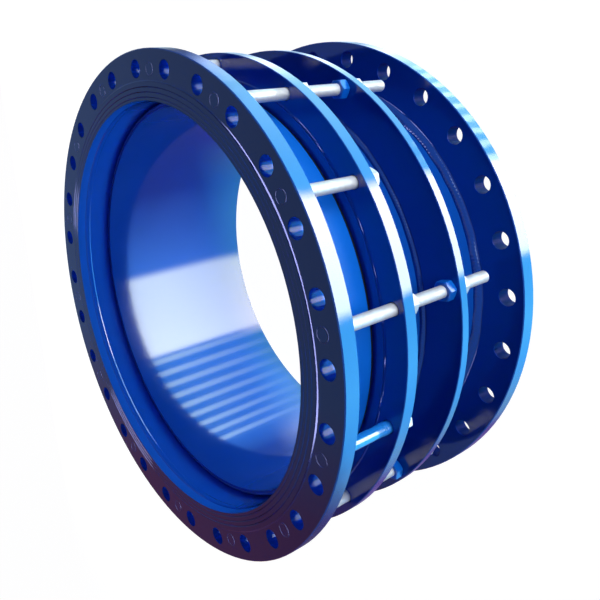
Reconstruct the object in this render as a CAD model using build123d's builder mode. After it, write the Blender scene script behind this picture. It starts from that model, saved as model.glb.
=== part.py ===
"""Dismantling joint for a 1000 mm pipe: a flanged body, a gland and a flanged spigot that telescopes.

The joint stands on the raised face of the rear flange with its axis along +Z; the front flange is on
top. Lengths are in millimetres, angles in degrees. One tie rod stands at the -Y side.
"""
import os

from build123d import *

os.makedirs("parts", exist_ok=True)

# radial clearance of pieces that fit in each other, and the free gap between the moving halves
fit_gap = 0.05
body_gap = 0.3

# spigot pipe, by which all radii go, and its height over the floor
spigot_r = 508.0
spigot_wall = 12.0
spigot_edge_break = 1.5
spigot_setback = 13.0
spigot_insertion = 78.5

# barrel of the body, its clearance over the spigot and its tapered mouth for the gasket
barrel_gap = 4.0
barrel_wall = 16.0
barrel_length = 144.5
barrel_seat_depth = 9.0
mouth_depth = 12.5
mouth_widening = 10.0

# both end flanges: raised face, bolt circle and rim, each measured outwards from the one before
raised_face_width = 43.0
raised_face_height = 3.0
bolt_circle_margin = 30.0
flange_rim = 42.5
flange_thickness = 37.0
flange_edge_break = 2.0
bolt_count = 28
bolt_hole_r = 21.0

# concentric sealing grooves in both raised faces, from the outermost inwards
groove_margin = 12.0
groove_spacing = 11.5
groove_count = 3
groove_width = 2.4
groove_depth = 1.2

# wedge gasket between mouth, spigot and gland
gasket_entry = 11.5
gasket_height = 13.0
gasket_squeeze_gap = 8.0

# tie rods, gland studs and their nuts; the rod circle lies a little inside the bolt circle
rod_r = 13.5
rod_circle_inset = 3.0
rod_hole_gap = 1.5
rod_end_break = 2.0
long_rod_count = 7
long_rod_overhang = 102.0
stud_overhang = 6.5
first_rod_angle = -90.0
nut_across_flats = 41.0
nut_height = 22.0
nut_face_r = 19.5
nut_corner_drop = 2.4

# gland ring with its low nose
gland_rim = 29.0
gland_thickness = 31.0
gland_nose_margin = 25.0
gland_nose_height = 4.0
gland_bore_gap = 0.5

# limit ring on the spigot, its distance from the rear flange and the gland's distance from it
limit_rim = 29.0
limit_thickness = 22.0
limit_distance = 176.0
gland_distance = 139.5
ring_edge_break = 1.5

# weld beads: fillet legs and how far their faces swell, and the low flat bead inside the bore
body_weld_leg = 12.0
body_weld_swell = 1.2
bore_weld_width = 16.5
bore_weld_crest = 11.0
bore_weld_height = 1.2
bore_weld_offset = 8.5
limit_weld_leg = 9.0
limit_weld_swell = 1.0
rear_weld_leg = 15.0
rear_weld_swell = 1.5
inner_weld_leg = 8.0

# radii and angles that follow from the sizes above
spigot_bore_r = spigot_r - spigot_wall
barrel_bore_r = spigot_r + barrel_gap
barrel_r = barrel_bore_r + barrel_wall
raised_face_r = barrel_bore_r + raised_face_width
groove_outer_r = raised_face_r - groove_margin
bolt_circle_r = raised_face_r + bolt_circle_margin
flange_r = bolt_circle_r + flange_rim
rod_circle_r = bolt_circle_r - rod_circle_inset
rod_hole_r = rod_r + rod_hole_gap
gland_r = rod_circle_r + gland_rim
gland_nose_r = barrel_r + gland_nose_margin
limit_r = rod_circle_r + limit_rim
gasket_r = spigot_r + body_gap
gasket_outer_r = barrel_bore_r + gasket_height
rod_count = 2 * long_rod_count
first_stud_angle = first_rod_angle + 360 / rod_count
first_bolt_angle = first_rod_angle + 180 / bolt_count

# heights that follow from the sizes above, from the floor upwards
rear_flange_top = raised_face_height + flange_thickness
limit_z = rear_flange_top + limit_distance
limit_top = limit_z + limit_thickness
long_rod_end_z = limit_z - long_rod_overhang
gland_z = limit_top + gland_distance
stud_end_z = gland_z - nut_height - stud_overhang
gland_top = gland_z + gland_thickness
gland_face = gland_top + gland_nose_height
barrel_z = gland_face + gasket_squeeze_gap
spigot_top = barrel_z + spigot_insertion
barrel_top = barrel_z + barrel_length
front_flange_z = barrel_top - barrel_seat_depth
front_flange_top = front_flange_z + flange_thickness
total_length = front_flange_top + raised_face_height


def save(piece, name):
    """Label the piece and write its STEP file."""
    piece.part.label = name
    export_step(piece.part, f"parts/{name}.step")


def fillet_bead(root_r, plate_z, leg, swell):
    """Swollen fillet bead outside a pipe; a positive leg lies above the plate, a negative one below it."""
    size = abs(leg)
    reach = size / 2 + swell / 2 ** 0.5
    plate_toe = (root_r + size, plate_z)
    pipe_toe = (root_r, plate_z + leg)
    with BuildPart() as bead:
        with BuildSketch(Plane.XZ):
            with BuildLine():
                Polyline(pipe_toe, (root_r, plate_z), plate_toe)
                ThreePointArc(plate_toe, (root_r + reach, plate_z + reach * leg / size), pipe_toe)
            make_face()
        revolve(axis=Axis.Z)
    return bead


def flat_bead(*corners):
    """Bead round Z that was ground flat, from the corners of its section."""
    with BuildPart() as bead:
        with BuildSketch(Plane.XZ):
            with BuildLine():
                Polyline(*corners, close=True)
            make_face()
        revolve(axis=Axis.Z)
    return bead


def rod(angle, end_z):
    """Round bar from the front flange's bolt face, where it ends flush, down to its chamfered end."""
    with BuildPart() as bar:
        with BuildSketch(Plane.XY.offset(end_z)):
            with PolarLocations(rod_circle_r, 1, start_angle=angle):
                Circle(rod_r)
        extrude(amount=front_flange_top - end_z)
        chamfer(bar.edges().filter_by(GeomType.CIRCLE).sort_by(Axis.Z)[0], rod_end_break)
    return bar


def nut(angle, base_z):
    """Hexagon nut round a rod, a corner towards the joint's axis and its corners turned off at both ends."""
    corner_r = nut_across_flats / 3 ** 0.5
    with BuildPart() as hexagon:
        with BuildSketch(Plane.XZ):
            with BuildLine():
                Polyline(
                    (0, 0),
                    (nut_face_r, 0),
                    (corner_r, nut_corner_drop),
                    (corner_r, nut_height - nut_corner_drop),
                    (nut_face_r, nut_height),
                    (0, nut_height),
                    close=True,
                )
            make_face()
        revolve(axis=Axis.Z)
        with BuildSketch(Plane.XY):
            RegularPolygon(nut_across_flats / 2, 6, major_radius=False)
        extrude(amount=nut_height, mode=Mode.INTERSECT)
        Hole(rod_r + fit_gap)
    with BuildPart() as placed:
        with PolarLocations(rod_circle_r, 1, start_angle=angle):
            with Locations((0, 0, base_z)):
                add(hexagon.part)
    return placed


# spigot pipe: plain steel pipe, its edges broken so that it enters the gasket
with BuildPart() as spigot_pipe:
    with BuildSketch(Plane.XY.offset(spigot_setback)):
        Circle(spigot_r)
        Circle(spigot_bore_r, mode=Mode.SUBTRACT)
    extrude(amount=spigot_top - spigot_setback)
    chamfer(spigot_pipe.faces().sort_by(Axis.Z)[-1].outer_wire().edges(), spigot_edge_break)
save(spigot_pipe, "spigot_pipe")

# rear flange: plate and raised face below it, slipped over the pipe
with BuildPart() as rear_flange:
    with BuildSketch(Plane.XY.offset(raised_face_height)):
        Circle(flange_r)
    extrude(amount=flange_thickness)
    chamfer(rear_flange.edges().filter_by(GeomType.CIRCLE), flange_edge_break)
    with BuildSketch(Plane.XY):
        Circle(raised_face_r)
    extrude(amount=raised_face_height)
    with BuildSketch(Plane.XZ):
        for step in range(groove_count):
            with Locations((groove_outer_r - step * groove_spacing, 0)):
                Polygon((-groove_width / 2, 0), (groove_width / 2, 0), (0, groove_depth), align=None)
    revolve(axis=Axis.Z, mode=Mode.SUBTRACT)
    Hole(spigot_r + fit_gap)
    with PolarLocations(bolt_circle_r, bolt_count, start_angle=first_bolt_angle):
        Hole(bolt_hole_r)
save(rear_flange, "rear_flange")

# limit ring: plate round the spigot with a hole for every tie rod
with BuildPart() as limit_ring:
    with BuildSketch(Plane.XY.offset(limit_z)):
        Circle(limit_r)
        Circle(spigot_r + fit_gap, mode=Mode.SUBTRACT)
        with PolarLocations(rod_circle_r, long_rod_count, start_angle=first_rod_angle):
            Circle(rod_hole_r, mode=Mode.SUBTRACT)
    extrude(amount=limit_thickness)
    chamfer(limit_ring.edges().filter_by(GeomType.CIRCLE).group_by(SortBy.RADIUS)[-1], ring_edge_break)
save(limit_ring, "limit_ring")

# fillet beads of limit ring and rear flange, and the bead that closes the pipe end inside the flange
limit_weld_front = fillet_bead(spigot_r + fit_gap, limit_top, limit_weld_leg, limit_weld_swell)
save(limit_weld_front, "limit_weld_front")
limit_weld_rear = fillet_bead(spigot_r + fit_gap, limit_z, -limit_weld_leg, limit_weld_swell)
save(limit_weld_rear, "limit_weld_rear")
rear_weld_front = fillet_bead(spigot_r + fit_gap, rear_flange_top, rear_weld_leg, rear_weld_swell)
save(rear_weld_front, "rear_weld_front")
inner_weld_r = spigot_r - body_gap
rear_weld_inner = flat_bead(
    (inner_weld_r, spigot_setback),
    (inner_weld_r, spigot_setback - inner_weld_leg),
    (inner_weld_r - inner_weld_leg, spigot_setback),
)
save(rear_weld_inner, "rear_weld_inner")

# front flange: plate, raised face on top, counterbore for the barrel below, bolt holes and rod holes
with BuildPart() as front_flange:
    with BuildSketch(Plane.XY.offset(front_flange_z)):
        Circle(flange_r)
    extrude(amount=flange_thickness)
    chamfer(front_flange.edges().filter_by(GeomType.CIRCLE), flange_edge_break)
    with BuildSketch(Plane.XY.offset(front_flange_top)):
        Circle(raised_face_r)
    extrude(amount=raised_face_height)
    with BuildSketch(Plane.XZ):
        for step in range(groove_count):
            with Locations((groove_outer_r - step * groove_spacing, total_length)):
                Polygon((-groove_width / 2, 0), (groove_width / 2, 0), (0, -groove_depth), align=None)
    revolve(axis=Axis.Z, mode=Mode.SUBTRACT)
    Hole(barrel_bore_r)
    with BuildSketch(Plane.XY.offset(front_flange_z)):
        Circle(barrel_r + fit_gap)
    extrude(amount=barrel_seat_depth, mode=Mode.SUBTRACT)
    with PolarLocations(bolt_circle_r, bolt_count, start_angle=first_bolt_angle):
        Hole(bolt_hole_r)
    with PolarLocations(rod_circle_r, rod_count, start_angle=first_rod_angle):
        Hole(rod_r + fit_gap)
save(front_flange, "front_flange")

# barrel: sleeve from the flange to the gasket, its bore flared at the mouth
with BuildPart() as barrel:
    with BuildSketch(Plane.XZ):
        with BuildLine():
            Polyline(
                (barrel_bore_r + mouth_widening, barrel_z),
                (barrel_r, barrel_z),
                (barrel_r, barrel_top),
                (barrel_bore_r, barrel_top),
                (barrel_bore_r, barrel_z + mouth_depth),
                close=True,
            )
        make_face()
    revolve(axis=Axis.Z)
save(barrel, "barrel")

# fillet bead behind the front flange and the low bead over the joint inside the bore
barrel_weld_outer = fillet_bead(barrel_r + fit_gap, front_flange_z, -body_weld_leg, body_weld_swell)
save(barrel_weld_outer, "barrel_weld_outer")
bore_weld_r = barrel_bore_r - fit_gap
bore_weld_top = barrel_top + bore_weld_offset
bore_weld_slope = (bore_weld_width - bore_weld_crest) / 2
barrel_weld_inner = flat_bead(
    (bore_weld_r, bore_weld_top),
    (bore_weld_r - bore_weld_height, bore_weld_top - bore_weld_slope),
    (bore_weld_r - bore_weld_height, bore_weld_top - bore_weld_width + bore_weld_slope),
    (bore_weld_r, bore_weld_top - bore_weld_width),
)
save(barrel_weld_inner, "barrel_weld_inner")

# wedge gasket: its thin end in the mouth, its back on the gland's nose
mouth_slope = mouth_widening / mouth_depth
gasket_thin_r = barrel_bore_r + mouth_slope * (mouth_depth - gasket_entry) - fit_gap
gasket_shoulder_z = barrel_z + gasket_entry - (gasket_outer_r - gasket_thin_r) / mouth_slope
with BuildPart() as gasket:
    with BuildSketch(Plane.XZ):
        with BuildLine():
            Polyline(
                (gasket_r, gland_face),
                (gasket_outer_r, gland_face),
                (gasket_outer_r, gasket_shoulder_z),
                (gasket_thin_r, barrel_z + gasket_entry),
                (gasket_r, barrel_z + gasket_entry),
                close=True,
            )
        make_face()
    revolve(axis=Axis.Z)
save(gasket, "gasket")

# gland ring: plate with a low nose that pushes the gasket, and a hole for every rod
with BuildPart() as gland_ring:
    with BuildSketch(Plane.XY.offset(gland_z)):
        Circle(gland_r)
    extrude(amount=gland_thickness)
    chamfer(gland_ring.edges().filter_by(GeomType.CIRCLE), ring_edge_break)
    with BuildSketch(Plane.XY.offset(gland_top)):
        Circle(gland_nose_r)
    extrude(amount=gland_nose_height)
    Hole(spigot_r + gland_bore_gap)
    with PolarLocations(rod_circle_r, rod_count, start_angle=first_rod_angle):
        Hole(rod_hole_r)
save(gland_ring, "gland_ring")

# seven long tie rods and seven short studs, by turns round the circle
for index in range(long_rod_count):
    turn = index * 360 / long_rod_count
    save(rod(first_rod_angle + turn, long_rod_end_z), f"tie_rod_{index + 1}")
    save(rod(first_stud_angle + turn, stud_end_z), f"gland_stud_{index + 1}")
    save(nut(first_rod_angle + turn, limit_top), f"lock_nut_front_{index + 1}")
    save(nut(first_rod_angle + turn, limit_z - nut_height), f"lock_nut_rear_{index + 1}")

# one gland nut on every rod behind the gland ring
for index in range(rod_count):
    save(nut(first_rod_angle + index * 360 / rod_count, gland_z - nut_height), f"gland_nut_{index + 1:02d}")
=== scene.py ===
"""Dismantling joint in a pale studio: finishes, threaded rods, weld beads and a camera over the frame.

Every new piece is a surface worked out with numpy on a grid of two parameters, in metres, in the frame
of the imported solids: +Z along the pipe axis, the rear flange on the floor.
"""

import logging
import math
from dataclasses import dataclass
from enum import Enum

import bpy
import numpy as np
from mathutils import Matrix, Vector

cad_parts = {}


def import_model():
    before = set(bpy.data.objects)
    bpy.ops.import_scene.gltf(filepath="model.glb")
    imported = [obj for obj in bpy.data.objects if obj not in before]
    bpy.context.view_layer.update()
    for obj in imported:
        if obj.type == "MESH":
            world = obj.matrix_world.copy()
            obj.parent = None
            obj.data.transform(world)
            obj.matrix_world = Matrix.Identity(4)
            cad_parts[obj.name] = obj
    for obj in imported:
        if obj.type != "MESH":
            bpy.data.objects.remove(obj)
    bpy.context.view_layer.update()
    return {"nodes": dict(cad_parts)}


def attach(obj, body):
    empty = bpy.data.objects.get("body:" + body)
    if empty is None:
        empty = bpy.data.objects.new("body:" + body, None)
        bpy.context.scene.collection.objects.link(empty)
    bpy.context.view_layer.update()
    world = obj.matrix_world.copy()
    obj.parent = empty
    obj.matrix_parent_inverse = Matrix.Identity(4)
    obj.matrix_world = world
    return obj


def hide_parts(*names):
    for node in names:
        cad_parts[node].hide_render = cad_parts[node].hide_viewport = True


LOG = logging.getLogger("dismantling_joint")
MM = 0.001
TURN = 2 * math.pi
CRISP_DEG = 40.0  # new pieces are shaded smooth except across edges sharper than this

Socket = bpy.types.NodeSocket
Pair = tuple[float, float]
Triple = tuple[float, float, float]
Stops = tuple[tuple[float, str], ...]


class Slot(Enum):
    """Material slot names of the record; nothing here gives them to the new pieces."""

    COATING = "blue_coating"
    ZINC = "zinc_plated_steel"


def linear(hex_colour: str) -> tuple[float, float, float, float]:
    """Linear colour of an sRGB hex value: a straight line near black, a power above it.

    Args:
        hex_colour: six hex digits, with or without a leading #.

    Returns:
        Red, green, blue and an alpha of 1.
    """
    digits = hex_colour.lstrip("#")
    srgb = np.array([int(digits[i : i + 2], 16) for i in (0, 2, 4)]) / 255
    low, high = srgb / 12.92, ((srgb + 0.055) / 1.055) ** 2.4
    red, green, blue = np.where(srgb <= 0.04045, low, high)
    return float(red), float(green), float(blue), 1.0


def scaled(size: float, shares: Pair) -> Pair:
    """A size times each of two shares."""
    return size * shares[0], size * shares[1]


class Nodes:
    """A node tree being filled, for a material or a world."""

    def __init__(self, tree: bpy.types.NodeTree) -> None:
        """Starts from an empty tree."""
        self.tree = tree
        tree.nodes.clear()

    def add(self, kind: str, settings: dict | None = None, **links: object) -> bpy.types.Node:
        """Adds a node with its settings and links.

        Args:
            kind: the node's type name.
            settings: attributes of the node; a key of the form "in:NAME" sets an unlinked input.
            links: input name, with _ for a space, to an output socket, or i0, i1 ... for its place.

        Returns:
            The new node.
        """
        node = self.tree.nodes.new(kind)
        for key, value in (settings or {}).items():
            if key.startswith("in:"):
                name = key[3:]
                socket = node.inputs[int(name)] if name.isdigit() else node.inputs[name]
                socket.default_value = value
            else:
                setattr(node, key, value)
        for key, source in links.items():
            place = key[1:]
            name = int(place) if key[0] == "i" and place.isdigit() else key.replace("_", " ")
            self.tree.links.new(source, node.inputs[name])
        return node

    def calc(self, operation: str, *values: Socket | float) -> Socket:
        """Reckons with sockets and plain numbers.

        Args:
            operation: operation of the Math node.
            values: its inputs, in order.

        Returns:
            The result.
        """
        settings, links = {"operation": operation}, {}
        for index, value in enumerate(values):
            if isinstance(value, Socket):
                links[f"i{index}"] = value
            else:
                settings[f"in:{index}"] = value
        return self.add("ShaderNodeMath", settings, **links).outputs[0]

    def remap(
        self, value: Socket, start: Pair = (0.0, 1.0), end: Pair = (0.0, 1.0), clamp: bool = True
    ) -> Socket:
        """Takes a value from one range to another.

        Args:
            value: the value.
            start: its own range.
            end: the range of the result.
            clamp: whether the result stays within that range.

        Returns:
            The result.
        """
        settings = {
            "clamp": clamp,
            "in:From Min": start[0],
            "in:From Max": start[1],
            "in:To Min": end[0],
            "in:To Max": end[1],
        }
        return self.add("ShaderNodeMapRange", settings, Value=value).outputs["Result"]

    def mix(self, share: Socket, first: Socket | str, second: Socket | str) -> Socket:
        """Mixes two colours.

        Args:
            share: share of the second, 0 to 1.
            first: socket or sRGB hex of the first.
            second: socket or sRGB hex of the second.

        Returns:
            The mixed colour.
        """
        settings, links = {"data_type": "RGBA"}, {"i0": share}
        for place, colour in (("6", first), ("7", second)):
            if isinstance(colour, str):
                settings["in:" + place] = linear(colour)
            else:
                links["i" + place] = colour
        return self.add("ShaderNodeMix", settings, **links).outputs[2]

    def mix_number(self, share: Socket, first: Socket, second: float) -> Socket:
        """Mixes two numbers by the share of the second; the Mix node takes them at places 2 and 3."""
        return self.add("ShaderNodeMix", {"in:3": second}, i0=share, i2=first).outputs[0]

    def blend(self, value: Socket, levels: Pair, first: Socket | str, second: Socket | str) -> Socket:
        """The first colour up to the first level of a value, the second from the second level on."""
        return self.mix(self.remap(value, levels), first, second)

    def mix_shader(self, share: Socket, first: bpy.types.Node, second: bpy.types.Node) -> bpy.types.Node:
        """Mixes two shaders by the share of the second."""
        return self.add("ShaderNodeMixShader", i0=share, i1=first.outputs[0], i2=second.outputs[0])

    def noise(self, place: Socket, grain_mm: float, detail: float, roughness: float = 0.5) -> Socket:
        """Soft noise about 0.5 over a place, with grains of this size."""
        settings = {"in:Scale": 1 / (grain_mm * MM), "in:Detail": detail, "in:Roughness": roughness}
        return self.add("ShaderNodeTexNoise", settings, Vector=place).outputs["Fac"]

    def bump(self, height: Socket, height_mm: float, strength: float = 1.0, **below: Socket) -> Socket:
        """Normal of a relief this high, over the Normal of the surface below where one is given."""
        settings = {"in:Strength": strength, "in:Distance": height_mm * MM}
        return self.add("ShaderNodeBump", settings, Height=height, **below).outputs["Normal"]

    def from_axis(self, place: Socket) -> Socket:
        """Distance of a place from the Z axis."""
        flat = self.add("ShaderNodeVectorMath", {"operation": "MULTIPLY", "in:1": (1.0, 1.0, 0.0)}, i0=place)
        return self.length(flat)

    def length(self, vector: bpy.types.Node) -> Socket:
        """Length of the vector that a node gives."""
        length = self.add("ShaderNodeVectorMath", {"operation": "LENGTH"}, i0=vector.outputs[0])
        return length.outputs["Value"]

    def principled(self, settings: dict, **links: object) -> None:
        """Ends a material in a Principled BSDF with these settings and links."""
        shader = self.add("ShaderNodeBsdfPrincipled", settings, **links)
        self.add("ShaderNodeOutputMaterial", Surface=shader.outputs["BSDF"])


def new_material(name: str) -> tuple[bpy.types.Material, Nodes]:
    """Starts a node material.

    Args:
        name: the material's name.

    Returns:
        The material and its empty tree.
    """
    material = bpy.data.materials.new(name)
    material.use_nodes = True
    return material, Nodes(material.node_tree)


@dataclass(frozen=True)
class Coating:
    """Fusion-bonded epoxy on steel: a thick glossy plastic film with a faint orange peel.

    The clear top of the film gives sharp pale reflections over a deep saturated blue. Some places
    of a piece carry a duller film, which the mask of each kind of piece tells. By default that film
    is a lighter azure: painted light, the look of the paint where the lamps fall on it.
    """

    name: str = "fusion_bonded_epoxy"
    thick_hex: str = "#0a4fb8"
    thin_hex: str = "#0c5ac4"
    # dull film colour, a lighter azure than the thick film: painted light where lamps fall on the paint
    dull_hex: str = "#0b6fd8"
    roughness: float = 0.11
    dull_roughness: float = 0.38
    gloss_spread: Pair = (0.8, 1.3)
    ior: float = 1.58
    specular: float = 0.5
    dull_specular: float = 0.5
    coat: float = 1.0
    dull_coat: float = 0.0
    coat_roughness: float = 0.06
    cloud_mm: float = 140.0
    cloud_range: Pair = (0.3, 0.7)
    wave_mm: float = 55.0
    wave_height_mm: float = 0.0
    peel_mm: float = 5.0
    peel_height_mm: float = 0.035

    def dull(self, nodes: Nodes, place: Socket) -> Socket | None:
        """Where the film is dull, as 0 to 1; None where a piece is glossy all over."""
        return None

    def relief(self, nodes: Nodes, place: Socket) -> Socket:
        """Orange peel over the slow waves of the surface below.

        Args:
            nodes: the material's tree.
            place: Object coordinates.

        Returns:
            The normal.
        """
        waves = nodes.noise(place, self.wave_mm, detail=1.0)
        slow = nodes.bump(waves, self.wave_height_mm)
        peel = nodes.noise(place, self.peel_mm, detail=1.5)
        return nodes.bump(peel, self.peel_height_mm, Normal=slow)

    def build(self) -> bpy.types.Material:
        """Makes the material.

        Returns:
            The material: clouds of thick and thin film in colour and gloss, the dull film over them
            by its mask, and the relief.
        """
        material, nodes = new_material(self.name)
        place = nodes.add("ShaderNodeTexCoord").outputs["Object"]
        cloud = nodes.noise(place, self.cloud_mm, detail=4.0, roughness=0.55)
        colour = nodes.mix(cloud, self.thick_hex, self.thin_hex)
        gloss = nodes.remap(cloud, self.cloud_range, scaled(self.roughness, self.gloss_spread))
        settings = {
            "in:IOR": self.ior,
            "in:Metallic": 0.0,
            "in:Coat Weight": self.coat,
            "in:Coat Roughness": self.coat_roughness,
            "in:Coat IOR": self.ior,
        }
        links = {}
        mask = self.dull(nodes, place)
        if mask is not None:
            colour = nodes.mix(mask, colour, self.dull_hex)
            gloss = nodes.mix_number(mask, gloss, self.dull_roughness)
            links["Coat_Weight"] = nodes.remap(mask, end=(self.coat, self.dull_coat))
            links["Specular_IOR_Level"] = nodes.remap(mask, end=(self.specular, self.dull_specular))
        links["Normal"] = links["Coat_Normal"] = self.relief(nodes, place)
        nodes.principled(settings, Base_Color=colour, Roughness=gloss, **links)
        return material


@dataclass(frozen=True)
class PipeCoating(Coating):
    """The same epoxy on a pipe: satin outside, glossy inside. The outside takes the dull colour, by
    default a lighter azure that is painted light, the look of the paint where lamps fall on the outer wall.
    """

    name: str = "epoxy_on_pipe"
    outside_mm: float = 502.0

    def dull(self, nodes: Nodes, place: Socket) -> Socket:
        """1 farther from the axis than a radius within the wall, 0 nearer."""
        return nodes.calc("GREATER_THAN", nodes.from_axis(place), self.outside_mm * MM)


@dataclass(frozen=True)
class PlateCoating(Coating):
    """The same epoxy on a cut plate, over its slow waves, with another film in bolt holes and bore.
    Its blue is darker than on the pipes: painted shade, the look of the plate faces in shade.
    """

    name: str = "epoxy_on_plate_painted_shade"
    # darker blue than the pipes' paint: painted shade of the plate faces
    thick_hex: str = "#0840a2"
    thin_hex: str = "#0a49ae"
    dull_hex: str = "#0c36a0"
    wave_height_mm: float = 0.4
    dull_roughness: float = 0.45
    dull_specular: float = 0.12
    hole_count: int = 28
    hole_circle_mm: float = 585.0
    hole_mm: float = 21.6
    first_hole_deg: float = -83.5714
    bore_mm: float = 0.0

    def dull(self, nodes: Nodes, place: Socket) -> Socket:
        """1 in a bolt hole and in the bore, 0 elsewhere.

        The angle round the axis is cut into one cell per hole. The distance from the cell's middle,
        along the bolt circle and across it, tells whether a place lies within the hole.

        Args:
            nodes: the material's tree.
            place: Object coordinates.

        Returns:
            The mask.
        """
        parts = nodes.add("ShaderNodeSeparateXYZ", Vector=place).outputs
        angle = nodes.calc("ARCTAN2", parts["Y"], parts["X"])
        radius = nodes.from_axis(place)
        half_cell = TURN / self.hole_count / 2
        first = math.radians(self.first_hole_deg)
        cells = nodes.remap(angle, (first - half_cell, first + half_cell), clamp=False)
        half = half_cell * self.hole_circle_mm * MM
        along = nodes.remap(nodes.calc("FRACT", cells), end=(-half, half))
        across = nodes.calc("SUBTRACT", radius, self.hole_circle_mm * MM)
        reach = nodes.length(nodes.add("ShaderNodeCombineXYZ", X=along, Y=across))
        hole = nodes.calc("LESS_THAN", reach, self.hole_mm * MM)
        bore = nodes.calc("LESS_THAN", radius, self.bore_mm * MM)
        return nodes.calc("MAXIMUM", hole, bore)


@dataclass(frozen=True)
class ZincPlate:
    """Electroplated zinc on drawn steel, bloomed with a thin white film of its own oxide.

    Bare metal gives the satin sheen along a bar, and the film its pale mottled grey.
    """

    name: str = "electroplated_zinc"
    bright_hex: str = "#f6efe4"
    dull_hex: str = "#dcd6cd"
    roughness: float = 0.5
    gloss_spread: Pair = (0.8, 1.25)
    grain_mm: float = 2.2
    grain_height_mm: float = 0.02
    grain_strength: float = 0.6
    bloom_mm: float = 9.0
    bloom_range: Pair = (0.35, 0.65)
    bare_share: Pair = (0.08, 0.45)

    def build(self) -> bpy.types.Material:
        """Makes the material.

        Returns:
            The material, its metal and colour by the bloom, its gloss and relief by the grain.
        """
        material, nodes = new_material(self.name)
        place = nodes.add("ShaderNodeTexCoord").outputs["Object"]
        grain = nodes.noise(place, self.grain_mm, detail=5.0)
        bloom = nodes.noise(place, self.bloom_mm, detail=4.0)
        nodes.principled(
            {},
            Base_Color=nodes.mix(bloom, self.dull_hex, self.bright_hex),
            Metallic=nodes.remap(bloom, self.bloom_range, self.bare_share),
            Roughness=nodes.remap(grain, end=scaled(self.roughness, self.gloss_spread)),
            Normal=nodes.bump(grain, self.grain_height_mm, self.grain_strength),
        )
        return material


@dataclass(frozen=True)
class GasketRubber:
    """Moulded EPDM rubber: near black and matt, with a fine moulding grain and a faint bloom."""

    name: str = "moulded_epdm"
    base_hex: str = "#17181a"
    bloom_hex: str = "#242528"
    roughness: float = 0.62
    ior: float = 1.52
    grain_mm: float = 1.6
    grain_height_mm: float = 0.05
    grain_strength: float = 0.7
    bloom_mm: float = 1000 / 14  # fourteen patches to the metre

    def build(self) -> bpy.types.Material:
        """Makes the material.

        Returns:
            The material, its colour by the bloom and its relief by the grain.
        """
        material, nodes = new_material(self.name)
        place = nodes.add("ShaderNodeTexCoord").outputs["Object"]
        grain = nodes.noise(place, self.grain_mm, detail=3.0)
        bloom = nodes.noise(place, self.bloom_mm, detail=3.0)
        nodes.principled(
            {"in:Metallic": 0.0, "in:IOR": self.ior, "in:Roughness": self.roughness},
            Base_Color=nodes.mix(bloom, self.base_hex, self.bloom_hex),
            Normal=nodes.bump(grain, self.grain_height_mm, self.grain_strength),
        )
        return material


@dataclass
class Shop:
    """The finishes that the sub-assemblies share."""

    coating: bpy.types.Material
    bead: bpy.types.Material
    pipe: bpy.types.Material
    barrel: bpy.types.Material
    plate: bpy.types.Material
    nut: bpy.types.Material
    stud: bpy.types.Material
    front_plate: bpy.types.Material
    rear_plate: bpy.types.Material
    zinc: bpy.types.Material
    rubber: bpy.types.Material

    @classmethod
    def stocked(cls) -> "Shop":
        """Makes every finish once.

        Returns:
            The shop.
        """
        # the barrel's lighter azure is painted light, the look of its brightly lit wall; its satin outside
        # takes the dull azure, painted light too
        barrel = PipeCoating(
            name="epoxy_on_barrel_painted_light", outside_mm=520.0, thick_hex="#1468e0", thin_hex="#1874ec"
        )
        # the painted lock nuts take the lighter dull azure all over: painted light, the look of the lit nuts
        nut = PipeCoating(name="epoxy_on_nuts_painted_light", outside_mm=0.0, dull_coat=0.4, dull_roughness=0.3)
        # the painted stud is a lighter cyan blue than the flanges' paint: painted light, the look of the
        # brightly lit bar
        stud = Coating(
            name="epoxy_on_stud_painted_light", thick_hex="#1b84dc", thin_hex="#2a98ec", wave_mm=11.0, wave_height_mm=0.5
        )
        # in the front flange's bolt holes and bore the film is a light azure: painted light on the lit walls;
        # its faces keep the plates' painted shade
        front_plate = PlateCoating(
            name="epoxy_on_front_plate_painted_light_and_shade", dull_hex="#2080f4", dull_coat=0.25, dull_roughness=0.2, bore_mm=513.0
        )
        return cls(
            coating=Coating().build(),
            # the beads are a dark navy: painted shade, the look of the beads in the shade between plates and
            # pipe
            bead=Coating(name="epoxy_on_beads_painted_shade", thick_hex="#04297a", thin_hex="#053088").build(),
            pipe=PipeCoating(thick_hex="#0b4ab0", thin_hex="#0d54be", dull_hex="#0a50b0").build(),
            barrel=barrel.build(),
            plate=PlateCoating(hole_mm=0.0).build(),
            nut=nut.build(),
            stud=stud.build(),
            front_plate=front_plate.build(),
            rear_plate=PlateCoating(name="epoxy_on_rear_plate_painted_shade", dull_specular=0.05).build(),
            zinc=ZincPlate().build(),
            rubber=GasketRubber().build(),
        )


def linked(name: str, mesh: bpy.types.Mesh) -> bpy.types.Object:
    """Links a new object to the scene, at the origin.

    Args:
        name: the object's name.
        mesh: its mesh.

    Returns:
        The object.
    """
    piece = bpy.data.objects.new(name, mesh)
    bpy.context.scene.collection.objects.link(piece)
    return piece


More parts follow.
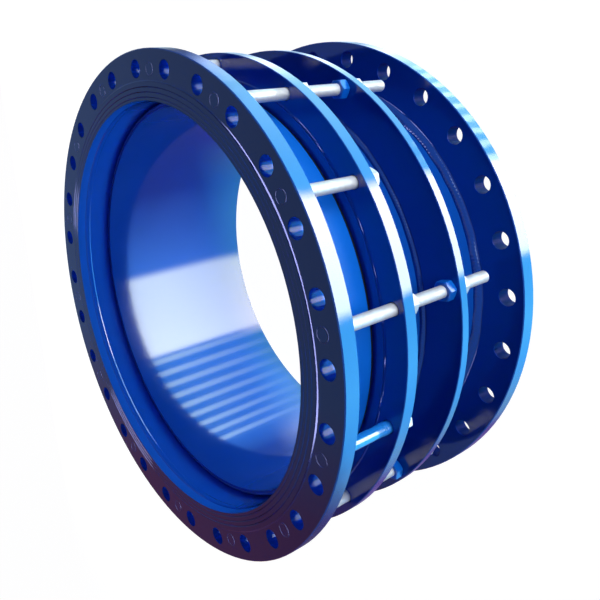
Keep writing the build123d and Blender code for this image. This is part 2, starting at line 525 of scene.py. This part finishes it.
def surface(name: str, points: np.ndarray, capped: bool = False) -> bpy.types.Object:
    """A smooth closed object whose vertices are a grid of points, each row a loop.

    Args:
        name: the object's name.
        points: array of rows by columns by 3, in metres.
        capped: whether a cap closes each end; otherwise the last row joins the first.

    Returns:
        The object.
    """
    rows, columns = points.shape[:2]
    row = np.arange(rows - 1 if capped else rows)[:, None]
    column = np.arange(columns)[None, :]
    next_row, next_column = (row + 1) % rows, (column + 1) % columns
    corners = [row * columns + column, row * columns + next_column]
    corners += [next_row * columns + next_column, next_row * columns + column]
    polygons = np.stack(corners, -1).reshape(-1, 4).tolist()
    if capped:
        polygons += [list(range(columns))[::-1], list(range((rows - 1) * columns, rows * columns))]
    mesh = bpy.data.meshes.new(name)
    mesh.from_pydata(points.reshape(-1, 3).tolist(), [], polygons)
    mesh.polygons.foreach_set("use_smooth", np.ones(len(mesh.polygons), bool))
    mesh.update()
    mesh.set_sharp_from_angle(angle=math.radians(CRISP_DEG))
    return linked(name, mesh)


def sheet(name: str, points: np.ndarray) -> bpy.types.Object:
    """An open sheet over a grid of points, for the stage only.

    Args:
        name: the object's name.
        points: array of rows by columns by 3, in metres.

    Returns:
        The object.
    """
    rows, columns = points.shape[:2]
    index = np.arange(rows * columns).reshape(rows, columns)
    faces = np.stack([index[:-1, :-1], index[:-1, 1:], index[1:, 1:], index[1:, :-1]], -1)
    mesh = bpy.data.meshes.new(name)
    mesh.from_pydata(points.reshape(-1, 3).tolist(), [], faces.reshape(-1, 4).tolist())
    return linked(name, mesh)


def dress(piece: bpy.types.Object, *materials: bpy.types.Material) -> None:
    """Gives a piece its materials.

    Args:
        piece: the piece.
        materials: its materials, in the order of their slots.
    """
    piece.data.materials.clear()
    for material in materials:
        piece.data.materials.append(material)


def circle(count: int) -> np.ndarray:
    """Evenly spaced angles once round."""
    return np.linspace(0, TURN, count, endpoint=False)


def turned(radius: np.ndarray, height: np.ndarray, angle: np.ndarray) -> np.ndarray:
    """Points at a radius, a height and an angle round the Z axis."""
    return np.stack(np.broadcast_arrays(radius * np.cos(angle), radius * np.sin(angle), height), -1)


def bar_centre(angle_deg: float, circle_mm: float) -> np.ndarray:
    """Where the axis of a bar on the bar circle crosses Z = 0, in metres."""
    angle = math.radians(angle_deg)
    return np.array([math.cos(angle), math.sin(angle), 0.0]) * circle_mm * MM


@dataclass
class Solids:
    """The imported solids, each in its finish; the new pieces then take the place of some."""

    nodes: dict[str, bpy.types.Object]

    def material_for(self, name: str, shop: Shop) -> bpy.types.Material:
        """The finish of a solid: rubber gasket, zinc nuts behind the rings, coatings elsewhere.

        Args:
            name: the solid's name.
            shop: the shared finishes.

        Returns:
            Its material.
        """
        own = {
            "gasket": shop.rubber,
            "spigot_pipe": shop.pipe,
            "barrel": shop.barrel,
            "barrel_weld_inner": shop.barrel,
            "rear_flange": shop.rear_plate,
            "front_flange": shop.front_plate,
            "gland_ring": shop.plate,
            "limit_ring": shop.plate,
        }
        if name in own:
            return own[name]
        if name.startswith(("gland_nut", "lock_nut_rear")):
            return shop.zinc
        if name.startswith("lock_nut"):
            return shop.nut
        return shop.coating

    def build(self, shop: Shop) -> None:
        """Dresses every solid.

        Args:
            shop: the shared finishes.
        """
        for name, node in self.nodes.items():
            material = self.material_for(name, shop)
            for place in node.material_slots:
                place.material = material
        LOG.info("%d solids dressed", len(self.nodes))


@dataclass
class WeldBead:
    """A fillet bead laid round the pipe axis by hand and painted over.

    The section is a swollen fillet. Along the run its face carries the ripples of the weld pool,
    and its two legs wander a little about a size just under the full one.
    """

    node: str
    body: str
    root_mm: float
    plate_mm: float
    leg_mm: float
    swell_mm: float
    swell_share: float = 0.75
    ripple_mm: float = 7.0
    ripple_height_mm: float = 0.45
    ripple_change: float = 0.5
    ripple_rows: int = 6
    ripple_trail: float = 0.9
    toe_mm: float = 2.6
    toe_rise_mm: float = 1.1
    wander_mm: float = 0.9
    wander_bias: float = 0.6
    wave_count: int = 6
    wave_range: tuple[int, int] = (3, 60)
    seed: int = 1
    arc_points: int = 9

    def wander(self, angle: np.ndarray, strand: int) -> np.ndarray:
        """Slow change along the run: a mean of sines whose whole periods close round the circle.

        Args:
            angle: angles round the axis.
            strand: number of the thing that changes, for draws of its own.

        Returns:
            The change at each angle, between -1 and 1.
        """
        rng = np.random.default_rng(self.seed * 10 + strand)
        waves = rng.integers(*self.wave_range, self.wave_count)[:, None]
        phases = rng.uniform(0, TURN, self.wave_count)[:, None]
        return np.sin(waves * angle[None, :] + phases).mean(0)

    def points(self) -> np.ndarray:
        """Grid of the bead: rows run round the axis and columns round the section.

        The face is the straight line between the toes, plus a parabola of the swell, plus ripples,
        each a raised cosine along the run whose phase trails towards the toes and whose height
        wanders. On the plate the bead runs out in a shallow toe, and the two legs close the section.
        A negative leg points down from its plate.

        Returns:
            Array of rows by columns by 3, in metres.
        """
        size = abs(self.leg_mm)
        sign = math.copysign(1.0, self.leg_mm)
        count = int(round(TURN * self.root_mm / self.ripple_mm))
        angle = circle(count * self.ripple_rows)
        across = np.linspace(0, 1, self.arc_points)[None, :]
        bulge = 4 * across * (1 - across)
        plate_leg = (size + self.wander_mm * (self.wander(angle, 0) - self.wander_bias))[:, None]
        pipe_leg = (size + self.wander_mm * (self.wander(angle, 1) - self.wander_bias))[:, None]
        trail = self.ripple_trail * (2 * across - 1) ** 2
        ripple = 0.5 + 0.5 * np.cos(count * angle[:, None] + math.pi * trail)
        ripple_size = 1 + self.ripple_change * self.wander(angle, 2)[:, None]
        swell = self.swell_mm * bulge * self.swell_share
        lift = swell + self.ripple_height_mm * ripple * bulge * ripple_size
        away = plate_leg * (1 - across) + lift / math.sqrt(2)
        along = pipe_leg * across + lift / math.sqrt(2) + self.toe_rise_mm * (1 - across)
        toe = self.root_mm + plate_leg + self.toe_mm
        root = np.full((angle.size, 1), self.root_mm)
        plate = np.full((angle.size, 1), self.plate_mm)
        radius = np.concatenate([toe, self.root_mm + away, root], 1)
        height = np.concatenate([plate, self.plate_mm + sign * along, plate], 1)
        if sign > 0:
            radius, height = radius[:, ::-1], height[:, ::-1]
        return turned(radius * MM, height * MM, angle[:, None])

    def build(self, shop: Shop) -> None:
        """Makes the bead in place of its plain solid.

        Args:
            shop: the shared finishes.
        """
        piece = surface(self.node + "_rippled", self.points())
        dress(piece, shop.bead)
        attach(piece, self.body)
        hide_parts(self.node)
        LOG.info("weld bead %s", piece.name)


@dataclass
class BeadSet:
    """The four beads whose ripples show, on the spigot pipe and on the barrel."""

    pipe_mm: float = 508.05
    barrel_mm: float = 528.05

    def build(self, shop: Shop) -> None:
        """Makes every bead.

        Args:
            shop: the shared finishes.
        """
        pipe, barrel = self.pipe_mm, self.barrel_mm
        beads = (
            WeldBead("limit_weld_front", "spigot", pipe, plate_mm=238.0, leg_mm=9.0, swell_mm=1.0, seed=3),
            WeldBead("limit_weld_rear", "spigot", pipe, plate_mm=216.0, leg_mm=-9.0, swell_mm=1.0, seed=5),
            WeldBead(
                "rear_weld_front", "spigot", pipe, plate_mm=40.0, leg_mm=15.0, swell_mm=1.5,
                ripple_mm=9.0, wander_mm=1.6, seed=7,
            ),
            WeldBead(
                "barrel_weld_outer", "body", barrel, plate_mm=556.0, leg_mm=-12.0, swell_mm=1.2,
                ripple_mm=8.0, seed=9,
            ),
        )
        for bead in beads:
            bead.build(shop)


@dataclass
class Rod:
    """A bar with a rolled metric thread where its nuts run, painted over at its flush end."""

    node: str
    angle_deg: float
    end_mm: float
    top_mm: float = 593.0
    circle_mm: float = 582.0
    radius_mm: float = 13.5
    pitch_mm: float = 3.0
    thread_mm: float = 0.5
    thread_top_mm: float = 450.0
    fade_mm: float = 2.0
    fade_pitches: float = 2.0
    break_mm: float = 2.0
    shoulder: Pair = (0.3, 0.45)
    turns: int = 28
    rows_per_pitch: int = 6
    plain_rows: int = 14
    collars_mm: tuple[float, ...] = ()
    collar_mm: float = 1.1
    collar_width_mm: float = 1.4

    def points(self) -> np.ndarray:
        """Grid of the bar: rows along its axis and columns round it.

        The radius is the bar's, less a helix: a raised cosine of height over pitch less the angle over
        a full turn. It fades in over a short way at the free end and over two pitches at the other
        end of the thread. Collars of thick paint add low bell curves. The free end closes in a
        chamfer with a soft shoulder.

        Returns:
            Array of rows by columns by 3, in metres.
        """
        low = self.end_mm + self.break_mm
        thread = np.arange(low, self.thread_top_mm, self.pitch_mm / self.rows_per_pitch)
        plain = np.linspace(self.thread_top_mm, self.top_mm, self.plain_rows)
        height = np.concatenate([thread, plain])[:, None]
        angle = circle(self.turns)[None, :]
        fade_in = np.clip((height - low) / self.fade_mm, 0, 1)
        fade_out = np.clip((self.thread_top_mm - height) / (self.fade_pitches * self.pitch_mm), 0, 1)
        wave = 0.5 - 0.5 * np.cos(TURN * height / self.pitch_mm - angle)
        radius = self.radius_mm - self.thread_mm * (fade_in * fade_out) * wave
        for collar in self.collars_mm:
            radius = radius + self.collar_mm * np.exp(-(((height - collar) / self.collar_width_mm) ** 2))
        inset, rise = scaled(self.break_mm, self.shoulder)
        ends = np.array([[self.radius_mm - self.break_mm], [self.radius_mm - inset]])
        radius = np.concatenate([np.broadcast_to(ends, (2, self.turns)), radius])
        height = np.concatenate([np.array([[self.end_mm], [self.end_mm + rise]]), height])
        return turned(radius * MM, height * MM, angle) + bar_centre(self.angle_deg, self.circle_mm)

    def build(self, shop: Shop, skin: bpy.types.Material) -> None:
        """Makes the bar in place of its plain solid, its flush end in the flange's paint.

        Args:
            shop: the shared finishes.
            skin: the bar's own finish, zinc or paint.
        """
        piece = surface(self.node + "_threaded", self.points(), capped=True)
        dress(piece, skin, shop.coating)
        faces = piece.data.polygons
        free_cap, flush_cap = faces[len(faces) - 2], faces[len(faces) - 1]
        free_cap.use_smooth = flush_cap.use_smooth = False
        flush_cap.material_index = 1
        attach(piece, "body")
        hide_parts(self.node)


@dataclass
class SealRing:
    """A low ring of paint and sealer round the flush end of a bar, on the front flange's face."""

    index: int
    angle_deg: float
    face_mm: float = 593.0
    circle_mm: float = 582.0
    radius_mm: float = 15.2
    width_mm: float = 2.6
    height_mm: float = 0.7
    swell: float = 0.75
    swell_change: float = 0.25
    turns: int = 56
    columns: int = 9

    def build(self, shop: Shop) -> None:
        """Makes the ring: a half ellipse swept round the bar's axis.

        It swells and thins by the product of a single and a double wave once round, each shifted by
        the ring's number, so that no two rings look the same.

        Args:
            shop: the shared finishes.
        """
        angle = circle(self.turns)[:, None]
        section = np.linspace(0, math.pi, self.columns)[None, :]
        waves = np.sin(angle + self.index) * np.cos(2 * angle + 3 * self.index)
        swell = self.swell + self.swell_change * waves
        radius = self.radius_mm + self.width_mm / 2 * np.cos(section) * swell
        height = self.face_mm + self.height_mm * np.sin(section) * swell
        points = turned(radius * MM, height * MM, angle) + bar_centre(self.angle_deg, self.circle_mm)
        piece = surface(f"rod_end_seal_{self.index}", points)
        dress(piece, shop.coating)
        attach(piece, "body")


@dataclass
class RodSet:
    """The seven tie rods and the seven studs between them, each with its seal ring."""

    count: int = 7
    first_deg: float = -90.0
    tie_end_mm: float = 114.0
    stud_end_mm: float = 349.0
    painted_stud: int = 7
    collars_mm: tuple[float, ...] = (417.0, 422.5, 429.0)

    def build(self, shop: Shop) -> None:
        """Makes every bar, one stud painted with the flanges, and then the seal rings.

        Args:
            shop: the shared finishes.
        """
        half_deg = 180 / self.count
        for index in range(self.count):
            tie_deg = self.first_deg + index * 360 / self.count
            Rod(f"tie_rod_{index + 1}", tie_deg, self.tie_end_mm).build(shop, shop.zinc)
            painted = index + 1 == self.painted_stud
            stud = Rod(
                f"gland_stud_{index + 1}",
                tie_deg + half_deg,
                self.stud_end_mm,
                collars_mm=self.collars_mm if painted else (),
            )
            # the painted stud's lighter cyan blue is painted light
            stud.build(shop, shop.stud if painted else shop.zinc)
        for index in range(2 * self.count):
            SealRing(index + 1, self.first_deg + index * 180 / self.count).build(shop)
        LOG.info("%d bars and their seal rings", 2 * self.count)


@dataclass
class FootFillet:
    """The thick film of paint that gathers in the corner at the foot of a raised face.

    It is a shallow slope, so that it draws a thin pale line of overhead light round the plate.
    """

    name: str
    body: str
    foot_mm: float
    face_r_mm: float
    reach_mm: float = 3.4
    rise_mm: float = 1.6
    bulge_mm: float = 0.1
    swell: float = 0.88
    swell_change: float = 0.06
    swell_counts: tuple[int, int] = (9, 23)
    turns: int = 720
    columns: int = 7

    def build(self, shop: Shop) -> None:
        """Makes the fillet: a slope with a slight bulge swept round the pipe axis.

        It swells and thins on its way by the sum of two waves, the second shifted by a radian.

        Args:
            shop: the shared finishes.
        """
        angle = circle(self.turns)[:, None]
        few, many = self.swell_counts
        swell = self.swell + self.swell_change * np.sin(few * angle)
        swell = swell + self.swell_change * np.sin(many * angle + 1.0)
        along = np.linspace(0, 1, self.columns)[None, :]
        bulge = self.bulge_mm * 4 * along * (1 - along)
        slope_radius = self.face_r_mm + (self.reach_mm * (1 - along) + bulge) * swell
        slope_height = self.foot_mm + (self.rise_mm * along + bulge) * swell
        radius = np.concatenate([slope_radius, np.full((self.turns, 1), self.face_r_mm)], 1)
        height = np.concatenate([slope_height, np.full((self.turns, 1), self.foot_mm)], 1)
        piece = surface(self.name, turned(radius * MM, height * MM, angle))
        dress(piece, shop.coating)
        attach(piece, self.body)


@dataclass(frozen=True)
class Surroundings:
    """What gloss sees, by direction alone: window and slats low in front, dim walls, a strip overhead.

    Stops are bearings in degrees, in order, each with its colour. Levels are values of a part of the
    direction between which one thing turns into the next, and a band is a middle and its reach.
    """

    steep: Stops = (
        (-180.0, "#56646e"),
        (-150.0, "#2a2a3a"),
        (-115.0, "#241938"),
        (-94.0, "#315067"),
        (-70.0, "#2b6e9c"),
        (-46.0, "#3a8cb8"),
        (-14.0, "#388fbc"),
        (-9.0, "#dcf2f4"),
        (34.0, "#ffffff"),
        (40.0, "#ffffff"),
        (46.0, "#4496bc"),
        (85.0, "#5690aa"),
        (109.0, "#54808e"),
        (131.0, "#8494a8"),
        (150.0, "#3a4a58"),
        (180.0, "#56646e"),
    )
    shallow: Stops = (
        (-180.0, "#56646e"),
        (-140.0, "#1a1626"),
        (-72.0, "#1a1428"),
        (-45.0, "#284478"),
        (-16.0, "#3866ac"),
        (-11.5, "#c8dae2"),
        (15.0, "#d4e4ea"),
        (38.5, "#dcecf4"),
        (41.0, "#306cb1"),
        (112.0, "#2c5c98"),
        (135.0, "#182440"),
        (150.0, "#20242c"),
        (180.0, "#56646e"),
    )
    ring_levels: Pair = (-0.6, -0.53)
    deep_levels: Pair = (-0.84, -0.66)
    deep_share: float = 0.72
    far_levels: Pair = (-0.57, -0.46)
    far_share: float = 0.6
    slat_first_deg: float = 42.0
    slat_pitch_deg: float = 8.5
    slat_count: int = 9
    slat_share: float = 0.4
    slat_hex: str = "#94b4c8"
    slat_levels: Pair = (-0.57, -0.44)
    slat_fade: Pair = (0.3, 1.0)
    deep_slat_hex: str = "#9cc0c8"
    deep_slat_levels: Pair = (-0.79, -0.765)
    deep_slat_fade: Pair = (1.0, 0.0)
    wall_hex: str = "#1b2436"
    warm_wall_hex: str = "#22121f"
    warm_lean: Triple = (1.0, 0.0, 0.7)
    warm_levels: Pair = (0.06, -0.14)
    upper_front_hex: str = "#182e54"
    pane_hex: str = "#647488"
    pane_height: Pair = (0.2, 0.1)
    pane_bearing_deg: Pair = (20.0, 28.0)
    behind_levels: Pair = (-0.1, 0.4)
    upper_levels: Pair = (-0.35, -0.2)
    zenith_hex: str = "#262c38"
    zenith_levels: Pair = (0.7, 0.76)
    strip_hex: str = "#b0b6fa"
    strip_height: Pair = (0.86, 0.14)
    strip_depth: Pair = (0.1, 0.25)

    def ring(self, nodes: Nodes, share: Socket, stops: Stops) -> Socket:
        """Colours round the horizon.

        Args:
            nodes: the world's tree.
            share: bearing as a share of a whole turn, 0.5 in front.
            stops: bearings and colours.

        Returns:
            Colour at the bearing.
        """
        ramp = nodes.add("ShaderNodeValToRGB", Fac=share)
        elements = ramp.color_ramp.elements
        elements[0].color, elements[-1].color = linear(stops[0][1]), linear(stops[-1][1])
        for bearing_deg, colour in stops[1:-1]:
            elements.new(bearing_deg / 360 + 0.5).color = linear(colour)
        return ramp.outputs["Color"]

    def slats(self, nodes: Nodes, bearing: Socket, height: Socket, levels: Pair, fade: Pair) -> Socket:
        """Where daylight falls between the slats beside the window.

        Args:
            nodes: the world's tree.
            bearing: bearing of the direction, in radians.
            height: its Z part.
            levels: Z parts between which the daylight changes.
            fade: its share at the first and at the second of them.

        Returns:
            The share of daylight, 0 beside the slats and on them.
        """
        first, pitch = math.radians(self.slat_first_deg), math.radians(self.slat_pitch_deg)
        place = nodes.remap(bearing, (first, first + pitch), clamp=False)
        opening = nodes.calc("LESS_THAN", nodes.calc("FRACT", place), self.slat_share)
        half = self.slat_count / 2
        within = nodes.calc("COMPARE", place, half, half)
        lit = nodes.calc("MULTIPLY", opening, within)
        return nodes.calc("MULTIPLY", lit, nodes.remap(height, levels, fade))

    def within(
        self, nodes: Nodes, first: Socket, first_band: Pair, second: Socket, second_band: Pair
    ) -> Socket:
        """1 where two values both lie within their bands, 0 elsewhere.

        Args:
            nodes: the world's tree.
            first: the first value.
            first_band: its middle and reach.
            second: the second value.
            second_band: its middle and reach.

        Returns:
            The mask.
        """
        inside_first = nodes.calc("COMPARE", first, *first_band)
        inside_second = nodes.calc("COMPARE", second, *second_band)
        return nodes.calc("MULTIPLY", inside_first, inside_second)

    def dimmed(self, nodes: Nodes, colour: Socket, height: Socket, levels: Pair, share: float) -> Socket:
        """A colour at a share of its brightness up to the first level and in full from the second."""
        scale = nodes.remap(height, levels, (share, 1.0))
        return nodes.add("ShaderNodeVectorMath", {"operation": "SCALE"}, i0=colour, Scale=scale).outputs[0]

    def colour(self, nodes: Nodes) -> Socket:
        """Colour of the surroundings in each direction.

        The bearing is the angle of a direction round Z, measured from the front. Steep and shallow
        directions below the horizon have a ring of colours each. The steep ring dims with depth and
        has slats at its deepest. The shallow ring dims towards the steep one and has the slats beside
        the window, which fade the same way. Above them stand the front wall with a faint pane and the
        wall behind, warmer low on one side, and a strip hangs overhead.

        Args:
            nodes: the world's tree.

        Returns:
            The colour, as a share of the window's brightness.
        """
        way = nodes.add("ShaderNodeTexCoord").outputs["Generated"]
        parts = nodes.add("ShaderNodeSeparateXYZ", Vector=way).outputs
        height = parts["Z"]
        bearing = nodes.calc("ARCTAN2", parts["X"], nodes.calc("MULTIPLY", parts["Y"], -1.0))
        share = nodes.remap(bearing, (-math.pi, math.pi))

        slats = self.slats(nodes, bearing, height, self.slat_levels, self.slat_fade)
        near = nodes.mix(slats, self.ring(nodes, share, self.shallow), self.slat_hex)
        near = self.dimmed(nodes, near, height, self.far_levels, self.far_share)
        deep_slats = self.slats(nodes, bearing, height, self.deep_slat_levels, self.deep_slat_fade)
        deep = self.ring(nodes, share, self.steep)
        deep = self.dimmed(nodes, deep, height, self.deep_levels, self.deep_share)
        deep = nodes.mix(deep_slats, deep, self.deep_slat_hex)
        low = nodes.blend(height, self.ring_levels, deep, near)

        lean = nodes.add("ShaderNodeVectorMath", {"operation": "DOT_PRODUCT", "in:1": self.warm_lean}, i0=way)
        wall = nodes.blend(lean.outputs["Value"], self.warm_levels, self.wall_hex, self.warm_wall_hex)
        pane_bearing = tuple(math.radians(part) for part in self.pane_bearing_deg)
        pane = self.within(nodes, height, self.pane_height, bearing, pane_bearing)
        front = nodes.mix(pane, self.upper_front_hex, self.pane_hex)
        walls = nodes.blend(parts["Y"], self.behind_levels, front, wall)
        level = nodes.blend(height, self.upper_levels, low, walls)

        strip = self.within(nodes, height, self.strip_height, parts["Y"], self.strip_depth)
        overhead = nodes.mix(strip, self.zenith_hex, self.strip_hex)
        return nodes.blend(height, self.zenith_levels, level, overhead)


@dataclass(frozen=True)
class PhotoCamera:
    """The camera at the photograph's place, angle and framing."""

    frame_px: float = 600.0
    focal_px: float = 666.491
    centre_px: Pair = (234.240, 254.613)
    place_m: Triple = (0.306253, -1.469312, 1.349070)
    right: Triple = (-0.160862, -0.566789, -0.808006)
    up: Triple = (0.979816, 0.006727, -0.199786)
    back: Triple = (0.118672, -0.823836, 0.554267)
    sensor_mm: float = 36.0
    sight_m: float = 100.0

    def build(self) -> None:
        """Makes the camera and the scene look through it; the shift places the photo's centre."""
        data = bpy.data.cameras.new("photo_camera")
        data.sensor_width = self.sensor_mm
        data.lens = self.focal_px / self.frame_px * data.sensor_width
        data.shift_x = 0.5 - self.centre_px[0] / self.frame_px
        data.shift_y = self.centre_px[1] / self.frame_px - 0.5
        data.clip_end = self.sight_m
        camera = bpy.data.objects.new("photo_camera", data)
        axes = Matrix((self.right, self.up, self.back)).transposed().to_4x4()
        camera.matrix_world = Matrix.Translation(self.place_m) @ axes
        bpy.context.scene.collection.objects.link(camera)
        bpy.context.scene.camera = camera


@dataclass(frozen=True)
class SoftLamp:
    """A soft rectangular lamp, which neither the camera nor a mirror image shows.

    Its radiance is how bright its face would look, where 1 is white.
    """

    name: str
    place_m: Triple
    target_m: Triple
    size_m: Pair
    radiance: float
    colour_hex: str = "#effaff"

    def build(self) -> None:
        """Hangs the lamp and turns its face to the target."""
        data = bpy.data.lights.new(self.name, "AREA")
        data.shape = "RECTANGLE"
        data.size, data.size_y = self.size_m
        data.energy = self.radiance * math.pi * self.size_m[0] * self.size_m[1]
        data.color = linear(self.colour_hex)[:3]
        lamp = bpy.data.objects.new(self.name, data)
        facing = Vector(self.target_m) - Vector(self.place_m)
        lamp.rotation_euler = facing.to_track_quat("-Z", "Y").to_euler()
        lamp.location = self.place_m
        lamp.visible_camera = False
        lamp.visible_glossy = False
        bpy.context.scene.collection.objects.link(lamp)


@dataclass(frozen=True)
class Studio:
    """Pale floor, white background, soft lamps and the camera of the photograph."""

    floor_m: float = 14.0
    floor_points: int = 9
    floor_hex: str = "#f4f4f2"
    floor_glow: float = 1.23
    glow_share: float = 0.8
    ambient: float = 0.07
    ambient_hex: str = "#cfc8ff"
    window_strength: float = 10.0
    first_mirror: float = 1.5
    lamps: tuple[SoftLamp, ...] = (
        SoftLamp(
            "key_window", place_m=(1.5, -2.6, 0.22), target_m=(0.1, 0.0, 0.22), size_m=(3.2, 0.4),
            radiance=16.0,
        ),
        SoftLamp(
            "side_window", place_m=(-2.6, -1.6, 0.22), target_m=(0.0, 0.0, 0.22), size_m=(2.4, 0.4),
            radiance=5.0,
        ),
        SoftLamp(
            "back_window", place_m=(0.4, 2.9, 0.26), target_m=(0.0, 0.0, 0.26), size_m=(3.6, 0.5),
            radiance=7.0,
        ),
        SoftLamp(
            "bore_glow",
            place_m=(-0.1, 0.0, 0.004),
            target_m=(-0.1, 0.0, 1.0),
            size_m=(0.56, 0.56),
            radiance=2.9,
            colour_hex="#ffffff",
        ),
    )

    def world(self) -> None:
        """White to the eye, the surroundings in gloss, and a plain level of soft light on the object.

        Only the first mirror image shows the surroundings, so that the bore isn't crossed by second ones.
        """
        world = bpy.data.worlds.new("studio")
        world.use_nodes = True
        bpy.context.scene.world = world
        nodes = Nodes(world.node_tree)
        path = nodes.add("ShaderNodeLightPath").outputs
        kind = "ShaderNodeBackground"
        light = nodes.add(kind, {"in:Color": linear(self.ambient_hex), "in:Strength": self.ambient})
        gloss = nodes.add(kind, {"in:Strength": self.window_strength}, Color=Surroundings().colour(nodes))
        white = nodes.add(kind, {"in:Color": (1, 1, 1, 1), "in:Strength": 1.0})
        first = nodes.calc("LESS_THAN", path["Glossy Depth"], self.first_mirror)
        mirror = nodes.calc("MULTIPLY", path["Is Glossy Ray"], first)
        lit = nodes.mix_shader(mirror, light, gloss)
        mixed = nodes.mix_shader(path["Is Camera Ray"], lit, white)
        nodes.add("ShaderNodeOutputWorld", Surface=mixed.outputs[0])

    def floor(self) -> None:
        """Pale studio floor that keeps a soft shadow and shows almost white."""
        material, nodes = new_material("pale_studio_floor")
        path = nodes.add("ShaderNodeLightPath").outputs
        share = nodes.calc("MULTIPLY", path["Is Camera Ray"], self.glow_share)
        cloth = nodes.add("ShaderNodeBsdfDiffuse", {"in:Color": linear(self.floor_hex)})
        glow = nodes.add("ShaderNodeEmission", {"in:Color": (1, 1, 1, 1), "in:Strength": self.floor_glow})
        mixed = nodes.mix_shader(share, cloth, glow)
        nodes.add("ShaderNodeOutputMaterial", Surface=mixed.outputs[0])
        half = self.floor_m / 2
        across = np.linspace(-half, half, self.floor_points)
        grid = np.stack(np.broadcast_arrays(across[None, :], across[:, None], 0.0), -1)
        floor = sheet("studio_floor", grid)
        dress(floor, material)
        floor.visible_glossy = False

    def build(self) -> None:
        """Sets world, floor, camera and lamps."""
        bpy.context.scene.view_settings.view_transform = "Standard"
        self.world()
        self.floor()
        PhotoCamera().build()
        for lamp in self.lamps:
            lamp.build()


def main() -> None:
    """Builds the joint in its studio."""
    logging.basicConfig(level=logging.INFO, format="%(message)s")
    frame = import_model()
    shop = Shop.stocked()
    Solids(frame["nodes"]).build(shop)
    BeadSet().build(shop)
    RodSet().build(shop)
    FootFillet("raised_face_fillet", "body", foot_mm=593.0, face_r_mm=555.0).build(shop)
    FootFillet("gland_nose_fillet", "gland", foot_mm=408.5, face_r_mm=553.0).build(shop)
    LOG.info("two foot fillets")
    Studio().build()


if __name__ == "__main__":
    main()
